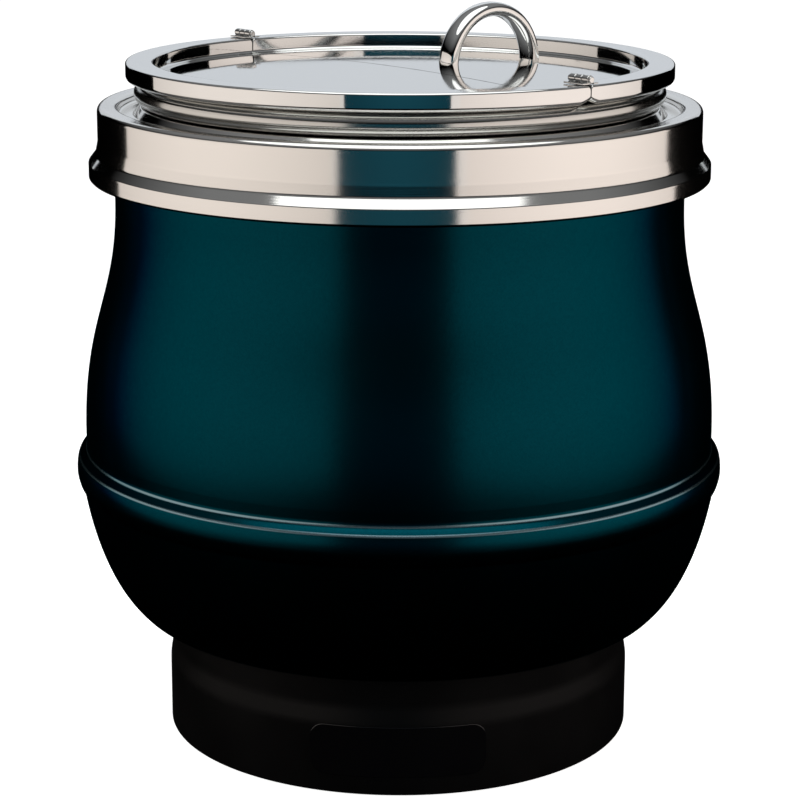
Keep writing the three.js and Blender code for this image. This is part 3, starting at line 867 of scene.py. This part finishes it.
# ---------------------------------------------------------------- lid
LID_TOP = top("lid_opening_half")
RIM_OUTER = 141.7
RIM_INNER = 127.4
RIM_BOTTOM = LID_TOP - 9.5
DISC_CENTRE = LID_TOP - 4.3
DOME_RADIUS = 2100
PARTING = 0.35


def dome(r):
    return DISC_CENTRE - r * r / (2 * DOME_RADIUS)


def dome_run(start, end, drop, steps):
    """The gently domed disc, from one radius to another."""
    side = 1 if end < start else -1
    run = []
    for i in range(steps + 1):
        r = start + (end - start) * i / steps
        normal = unit(r / DOME_RADIUS, 1)
        run.append(((r, dome(r) - drop), (normal[0] * side, normal[1] * side)))
    return run


def lid_outline():
    under = dome_run(0, 123, 1, 10)
    rim = rounded(
        (*under[-1][0], 0),
        (126.5, RIM_BOTTOM, 0.8),
        (RIM_OUTER, RIM_BOTTOM, 2.6),
        (RIM_OUTER, LID_TOP, 1.3),
        (RIM_INNER, LID_TOP, 1.3),
        (RIM_INNER, dome(125.4) + 0.2, 1.6),
        (*dome_run(125.2, 0, 0, 1)[0][0], 0),
        closed=False,
        steps=8,
    )
    return [under, *rim, dome_run(125.2, 0, 0, 16)]


def eased_ends(start):
    """Rounds the rim's corners where the two halves meet: a notch on top and a lift underneath."""

    def shape(angle, r, z):
        end = min(abs(math.degrees(angle) - start), abs(math.degrees(angle) - start - 180))
        gap = r * math.radians(end)
        if r > 126 and z > LID_TOP - 3:
            return r, z - 1.6 * max(0, 1 - gap / 1.5) ** 2
        if r > 130 and z < RIM_BOTTOM + 3:
            return r, z + 2.2 * max(0, 1 - gap / 6.5) ** 1.5 * min(1, (r - 130) / 8)
        return r, z

    return shape


def make_lid_half(side, name, body, node):
    """side is +1 for the half that opens, which carries the loop."""
    start = HINGE_AZIMUTH + (0 if side > 0 else 180)
    half = turned(name, lid_outline(), 176, start, 180, shape=eased_ends(start))
    away = Vector((-HINGE_AXIS.y, HINGE_AXIS.x, 0)) * side
    for vertex in half.data.vertices:
        near = vertex.co.dot(away)
        if near < PARTING * MM:
            vertex.co += away * (PARTING * MM - near)
    fit(half, body, "lid_steel", node)


# ---------------------------------------------------------------- loop handle and hinges
def flat_oval(x, y):
    """Points round a section between an ellipse and a rectangle, from its two half sizes."""
    power = 2 / 2.6
    points = []
    for i in range(32):
        angle = 2 * math.pi * i / 32
        c, s = math.cos(angle), math.sin(angle)
        points.append((math.copysign(abs(c) ** power, c) * x, math.copysign(abs(s) ** power, s) * y))
    return points


def make_loop():
    """A half ring of flat oval bar whose two feet stand on the disc."""
    screws = [middle("loop_screw_1"), middle("loop_screw_2")]
    radii = sorted(math.hypot(*place[:2]) / MM for place in screws)
    centre = sum(radii) / 2
    radius = (radii[1] - radii[0]) / 2
    wide, thick = 12, 7.6
    high = top("lid_loop_handle") - radius - thick / 2
    direction = math.radians(HINGE_AZIMUTH + 90)
    along = Vector((math.cos(direction), math.sin(direction), 0))
    across = HINGE_AXIS.copy()
    section = flat_oval(thick / 2, wide / 2)
    shape = bmesh.new()
    rings = []
    steps = 64
    for i in range(steps + 3):
        t = min(max((i - 1) / steps, 0), 1)
        angle = math.pi * (1 - t)
        spoke = Vector((math.cos(angle), math.sin(angle)))
        ring = []
        for off, side in section:
            r = centre + spoke.x * (radius + off)
            z = high + spoke.y * (radius + off)
            if i in (0, steps + 2):
                z = dome(r) + 0.05
            ring.append(shape.verts.new((along * r + across * side + Vector((0, 0, z))) * MM))
        rings.append(ring)
    for low, nxt in zip(rings, rings[1:]):
        for i in range(32):
            j = (i + 1) % 32
            shape.faces.new((low[i], low[j], nxt[j], nxt[i]))
    shape.faces.new(rings[0])
    shape.faces.new(rings[-1][::-1])
    bmesh.ops.recalc_face_normals(shape, faces=shape.faces[:])
    mesh = bpy.data.meshes.new("loop_handle")
    shape.to_mesh(mesh)
    shape.free()
    mesh.polygons.foreach_set("use_smooth", [True] * len(mesh.polygons))
    mesh.set_sharp_from_angle(angle=math.radians(50))
    fit(new_object("loop_handle", mesh), "lid_opening", "handle_steel", "lid_loop_handle")


def make_hinge(end_name, end):
    """One end of the hinge line: two leaves on the rim, three knuckles and a headed pin."""
    inner, outer = 127.8, 141.2
    knuckle, bore = 2.2, 1.05
    third = (outer - inner) / 3
    turn = Matrix.Rotation(math.radians(HINGE_AZIMUTH + (0 if end > 0 else 180)), 4, "Z")
    barrel = turn @ outwards(0, HINGE_HEIGHT)
    leaf_low = HINGE_HEIGHT - knuckle
    for half, body, spans in ((-1, "lid_fixed", [(0, 1), (2, 3)]), (1, "lid_opening", [(1, 2)])):
        side = half * end
        edges = sorted((side * 2.2, side * 5.2))
        low, high = (inner, edges[0], leaf_low), (outer, edges[1], leaf_low + 0.8)
        shells = [soft_box("leaf", low, high, 0.25, turn)]
        for a, b in spans:
            start, stop = inner + a * third + 0.15, inner + b * third - 0.15
            web = sorted((side * 0.3, side * 2.8))
            low, high = (start, web[0], leaf_low), (stop, web[1], leaf_low + 0.8)
            shells.append(soft_box("web", low, high, 0.2, turn))
            tube = rounded(
                (bore, start, 0.1),
                (knuckle, start, 0.45),
                (knuckle, stop, 0.45),
                (bore, stop, 0.1),
            )
            shells.append(turned("knuckle", tube, FINE, place=barrel))
        kind = "fixed" if half < 0 else "opening"
        leaf = merge(f"{end_name}_hinge_{kind}", *shells)
        fit(leaf, body, "hinge_steel", f"{end_name}_hinge_{kind}_leaf")
    head = 1.7
    pin = rounded(
        (0, inner - 1, 0),
        (head, inner - 1, 0.5),
        (head, inner - 0.1, 0.1),
        (1, inner - 0.1, 0),
        (1, outer + 0.1, 0),
        (head, outer + 0.1, 0.1),
        (head, outer + 1, 0.5),
        (0, outer + 1, 0),
        closed=False,
    )
    pin_piece = turned(f"{end_name}_pin", pin, FINE, place=barrel)
    fit(pin_piece, "lid_fixed", "hinge_steel", f"{end_name}_hinge_pin")


# ---------------------------------------------------------------- rear controls
def make_panel(base):
    """The plate that the knob and the lamp stand on."""
    height = middle("pilot_lamp_lens").z / MM
    panel = curved_panel("control_plate", 96, 33, 6, height, 118, base - 0.5, 1.3)
    fit(panel, "housing", "well_steel", "control_panel")


def make_knob(base):
    """A fluted knob on a skirt, with a white mark."""
    place = outwards(azimuth("control_knob"), joint("knob_turn")["pos_m"][2] / MM)
    back, front = base + 2.3, base + 19.1
    outline = rounded(
        (0, back, 0),
        (15.5, back, 0.6),
        (15.5, back + 2, 0.6),
        (13.2, back + 3.6, 1.2),
        (11.2, back + 4.4, 0.8),
        (10.7, front, 1.4),
        (0, front, 0),
        closed=False,
    )

    def fluted(angle, r, z):
        if 6 < r < 12 and z > back + 4.2:
            return r - 0.55 * (1 - abs(math.sin(6 * angle)) ** 0.6), z
        return r, z

    knob = turned("thermostat_knob", outline, 144, place=place, shape=fluted)
    fit(knob, "knob", "base_plastic", "control_knob")
    mark = soft_box("knob_mark", (-9.3, -0.6, front - 0.2), (-2, 0.6, front + 0.7), 0.2, place)
    fit(mark, "knob", "white_plastic", "knob_pointer")


def make_lamp(base):
    """The lamp's domed lens on its flange."""
    place = outwards(azimuth("pilot_lamp_lens"), middle("pilot_lamp_lens").z / MM)
    face = base + 0.8
    outline = rounded(
        (0, face - 0.2, 0),
        (8, face - 0.2, 0.3),
        (8, face + 1.7, 0.5),
        (6.9, face + 2, 0.4),
        (6, face + 4, 2.6),
        (0, face + 5, 0),
        closed=False,
    )
    fit(turned("lamp_lens", outline, FINE * 2, place=place), "housing", "amber_lens", "pilot_lamp_lens")


def make_gland(base):
    """The cord's inlet: a hexagonal collar and a tapered nose, with its bore open."""
    place = outwards(azimuth("cord_gland"), middle("cord_gland").z / MM)
    outline = rounded(
        (3.7, base - 12, 0.3),
        (6.5, base - 12, 0.3),
        (6.5, base - 0.2, 0),
        (9.5, base - 0.2, 0.3),
        (9.5, base + 4, 0.6),
        (7.2, base + 7, 1.2),
        (6.6, base + 10.2, 1),
        (3.7, base + 10.2, 0.8),
    )

    def hexagonal(angle, r, z):
        if r > 9 and z < base + 3.9:
            flat = 8.6 / math.cos((angle + math.pi / 6) % (math.pi / 3) - math.pi / 6)
            return min(flat, 9.5), z
        return r, z

    gland = turned("cord_inlet", outline, 144, place=place, shape=hexagonal)
    fit(gland, "housing", "base_plastic", "cord_gland")


def make_controls():
    base = reach("base_ring")
    make_panel(base)
    make_knob(base)
    make_lamp(base)
    make_gland(base)


# ---------------------------------------------------------------- stage, light and camera
def make_stage():
    """A pale floor that rises into a pale wall all round."""
    run = rounded((0, 0, 0), (6000, 0, 2500), (6000, 6000, 0), closed=False, steps=24)
    room = turned("studio_floor", run, 96)
    room.data.flip_normals()
    made = Shader("studio_paper")
    made.set(Base_Color=(0.9, 0.9, 0.9), Roughness=0.9, Specular_IOR_Level=0.1)
    made.set(Emission_Color=(1, 1, 1), Emission_Strength=0.97)
    made.bump(made.noise(900, 2), 0, 0.05, 0.0005)
    room.data.materials.append(made.material)
    room.visible_glossy = False
    room.visible_diffuse = False
    room.visible_shadow = False


def softbox(name, place, aim, width, height, radiance, colour, fade, oval=False):
    """A soft lamp of one brightness that fades a little towards its edges; lengths in metres."""
    data = bpy.data.lights.new(name, "AREA")
    data.shape = "ELLIPSE" if oval else "RECTANGLE"
    data.size, data.size_y = width, height
    area = width * height * (math.pi / 4 if oval else 1)
    data.energy = radiance * area * math.pi
    data.color = colour
    lamp = new_object(name, data)
    lamp.location = place
    lamp.rotation_euler = (Vector(aim) - Vector(place)).to_track_quat("-Z", "Y").to_euler()
    lamp.visible_camera = False
    fade_edges(data, fade)


def fade_edges(data, fade):
    data.use_nodes = True
    tree = data.node_tree
    emission = tree.nodes["Emission"]
    geometry = tree.nodes.new("ShaderNodeNewGeometry")
    centred = tree.nodes.new("ShaderNodeVectorMath")
    centred.operation = "SUBTRACT"
    centred.inputs[1].default_value = (0.5, 0.5, 0)
    tree.links.new(geometry.outputs["Parametric"], centred.inputs[0])
    distance = tree.nodes.new("ShaderNodeVectorMath")
    distance.operation = "LENGTH"
    tree.links.new(centred.outputs[0], distance.inputs[0])
    level = tree.nodes.new("ShaderNodeMapRange")
    level.inputs["From Min"].default_value = 0.1
    level.inputs["From Max"].default_value = 0.6
    level.inputs["To Min"].default_value = 1 + fade
    level.inputs["To Max"].default_value = 1 - fade
    tree.links.new(distance.outputs["Value"], level.inputs["Value"])
    tree.links.new(level.outputs[0], emission.inputs["Strength"])


def ahead(degrees, distance, height):
    """A place seen from the axis at an angle from the front, positive to the right."""
    angle = math.radians(degrees)
    return Vector((distance * math.sin(angle), -distance * math.cos(angle), height))


def make_lights():
    """Two side panels that stand on the floor, one above, one beyond, and a faint card in front."""
    height = 0.56
    for name, near, far, colour in (
        ("left_softbox", -21, -116, (0.9, 0.82, 0.76)),
        ("right_softbox", 19, 111, (1, 0.9, 0.84)),
    ):
        spread = abs(far - near) / 2
        distance = 0.75
        place = ahead((near + far) / 2, distance, height / 2)
        width = 2 * distance * math.tan(math.radians(spread))
        softbox(name, place, (0, 0, height / 2), width, height, 1.0, colour, 0.15)
    softbox("overhead", (0, -0.2, 1.35), (0, -0.2, 0.3), 1.5, 1.35, 1.5, (0.98, 1, 0.99), 0.1, True)
    softbox("backdrop", (0, 1.3, 0.85), (0, 0, 0.85), 1.7, 0.8, 0.72, (0.93, 0.98, 1.04), 0.05)
    softbox("front_card", (0, -1.75, 0.25), (0, 0, 0.25), 1.5, 0.9, 0.07, (0.1, 0.7, 1.0), 0.3)


CAMERA_PLACE = (0, -1.329, 0.509)
CAMERA_PITCH = 14.044  # degrees below the horizon
CAMERA_ROLL = 0.187


def make_camera():
    """The eye stands about 1.3 m in front of the axis, half a metre up, and looks down a little."""
    data = bpy.data.cameras.new("camera")
    data.sensor_width = 36
    data.lens = 115.3
    data.shift_x = 0.0011
    eye = new_object("camera", data)
    eye.location = CAMERA_PLACE
    look = Matrix.Rotation(math.radians(90 - CAMERA_PITCH), 4, "X")
    eye.rotation_euler = (look @ Matrix.Rotation(math.radians(CAMERA_ROLL), 4, "Z")).to_euler()
    bpy.context.scene.camera = eye


def make_world():
    world = bpy.data.worlds.new("studio")
    world.use_nodes = True
    tree = world.node_tree
    background = tree.nodes["Background"]
    coordinates = tree.nodes.new("ShaderNodeTexCoord")
    height = tree.nodes.new("ShaderNodeSeparateXYZ")
    level = tree.nodes.new("ShaderNodeMapRange")
    level.inputs["From Min"].default_value = 0.3
    level.inputs["From Max"].default_value = 0.7
    level.inputs["To Max"].default_value = 0.22
    tree.links.new(coordinates.outputs["Generated"], height.inputs[0])
    tree.links.new(height.outputs["Z"], level.inputs["Value"])
    tree.links.new(level.outputs[0], background.inputs["Strength"])
    background.inputs["Color"].default_value = (0.96, 0.98, 1, 1)
    bpy.context.scene.world = world
    bpy.context.scene.view_settings.view_transform = "Standard"


finish_cad_nodes()
make_base()
make_body()
make_collar()
make_well()
make_pot()
make_lid_half(-1, "fixed_lid_half", "lid_fixed", "lid_fixed_half")
make_lid_half(1, "opening_lid_half", "lid_opening", "lid_opening_half")
make_loop()
make_hinge("front", 1)
make_hinge("rear", -1)
make_controls()
make_camera()
make_world()
make_lights()
make_stage()
